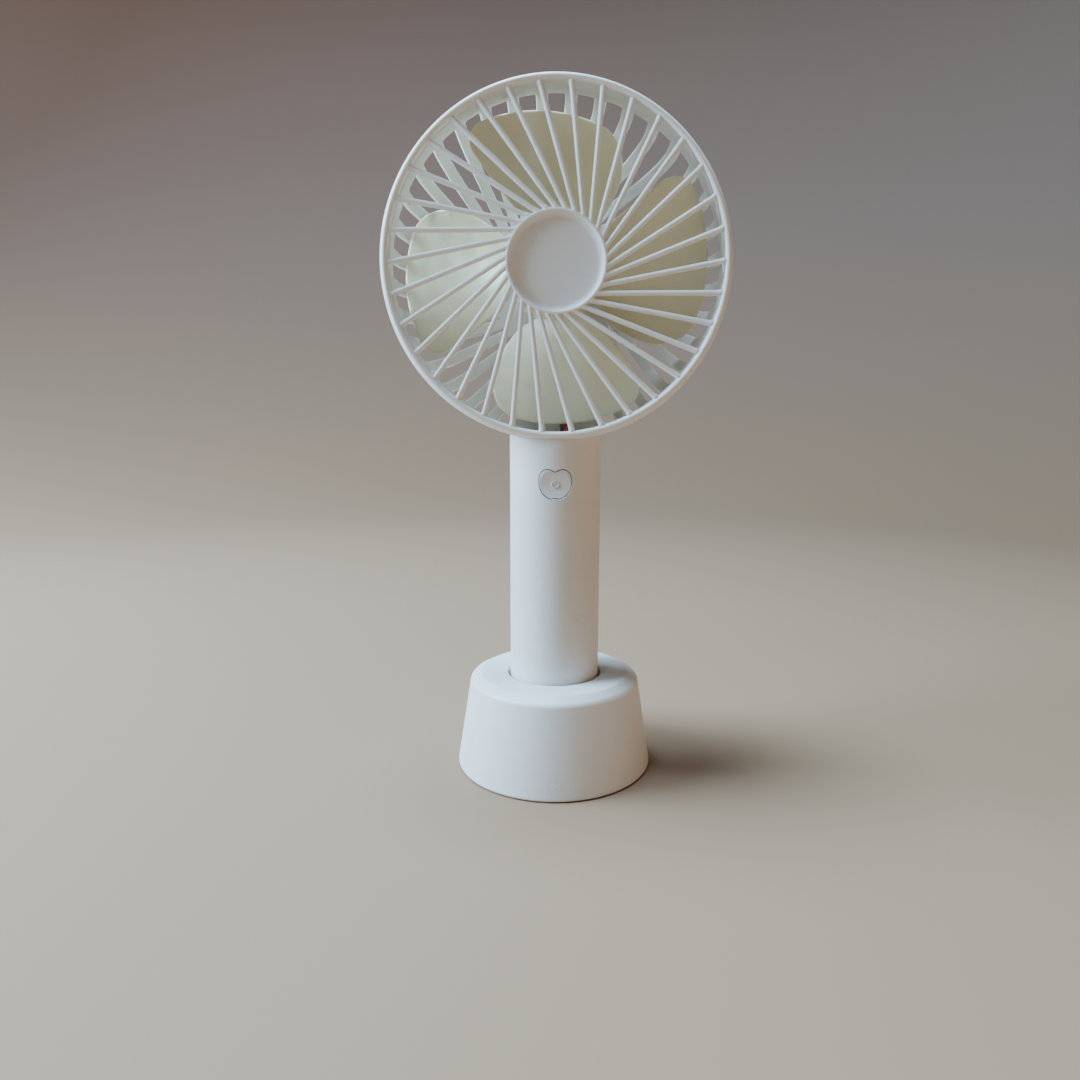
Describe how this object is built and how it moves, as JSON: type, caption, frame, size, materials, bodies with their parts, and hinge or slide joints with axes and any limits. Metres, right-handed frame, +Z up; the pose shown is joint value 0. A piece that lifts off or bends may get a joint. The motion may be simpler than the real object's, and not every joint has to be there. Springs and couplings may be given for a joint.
{
  "type": "handheld electric fan",
  "caption": "Round caged rechargeable fan on a straight tube handle with a push button, standing in a conical desk dock that it lifts out of.",
  "frame": {"origin": "centre of the dock's underside, on the surface that it stands on", "axes": "+Z up along the handle, the fan blows towards -Y, +X to the right of a person who looks at its front"},
  "size_m": [0.1, 0.0616, 0.203],
  "materials": {
    "shell_white": "moulded ABS with a fine satin grain",
    "button_white": "smooth moulded ABS, slightly glossier than the shells",
    "blade_cream": "smooth, slightly translucent cream plastic",
    "foot_rubber": "closed-cell foam rubber",
    "foam_grey": "soft foam strip",
    "screw_steel": "zinc plated",
    "motor_steel": "drawn and plated steel",
    "port_steel": "nickel plated",
    "lamination_steel": "stacked laminations, dull",
    "ferrite": "sintered ferrite",
    "bronze": "plain bronze",
    "copper_wire": "enamelled copper windings",
    "motor_plastic": "nylon",
    "board_green": "solder mask over glass fibre",
    "chip_black": "moulded black resin",
    "component_tan": "fired ceramic",
    "led_clear": "clear acrylic, diffused",
    "wrap_blue": "shrunk PVC sleeve",
    "wire_red": "PVC insulation",
    "wire_black": "PVC insulation"
  },
  "bodies": {
    "dock": {"base_shell": "shell_white", "base_plate": "shell_white", "foot_ring": "foot_rubber", "base_screws": "screw_steel"},
    "fan": {"front_grille": "shell_white", "rear_housing": "shell_white", "front_shell": "shell_white", "end_cap": "shell_white", "case_screws": "screw_steel", "motor_can": "motor_steel", "motor_end_cap": "motor_plastic", "motor_magnets": "ferrite", "front_bush": "bronze", "rear_bush": "bronze", "motor_brushes": "bronze", "motor_terminals": "bronze", "motor_wire_red": "wire_red", "motor_wire_black": "wire_black", "circuit_board": "board_green", "controller_chip": "chip_black", "board_components": "component_tan", "tactile_switch": "chip_black", "charge_led": "led_clear", "light_pipe": "led_clear", "usb_shell": "port_steel", "usb_tongue": "chip_black", "battery_cell": "port_steel", "battery_wrap": "wrap_blue", "battery_tabs": "port_steel", "cell_pads": "foam_grey", "battery_lead_red": "wire_red", "battery_lead_black": "wire_black"},
    "rotor": {"impeller": "blade_cream", "motor_shaft": "motor_steel", "armature_core": "lamination_steel", "armature_windings": "copper_wire", "commutator": "bronze"},
    "button": {"power_button": "button_white", "switch_plunger": "button_white"}
  },
  "joints": [
    {"name": "fan_lift", "type": "slide", "parent": "dock", "child": "fan", "axis": [0, 0, 1], "range_m": [0, 0.04]},
    {"name": "rotor_spin", "type": "hinge", "parent": "fan", "child": "rotor", "pos_m": [0, 0, 0.153], "axis": [0, 1, 0], "continuous": true},
    {"name": "button_press", "type": "slide", "parent": "fan", "child": "button", "axis": [0, 1, 0], "range_m": [0, 0.0005], "stiffness_N_per_m": 600}
  ]
}
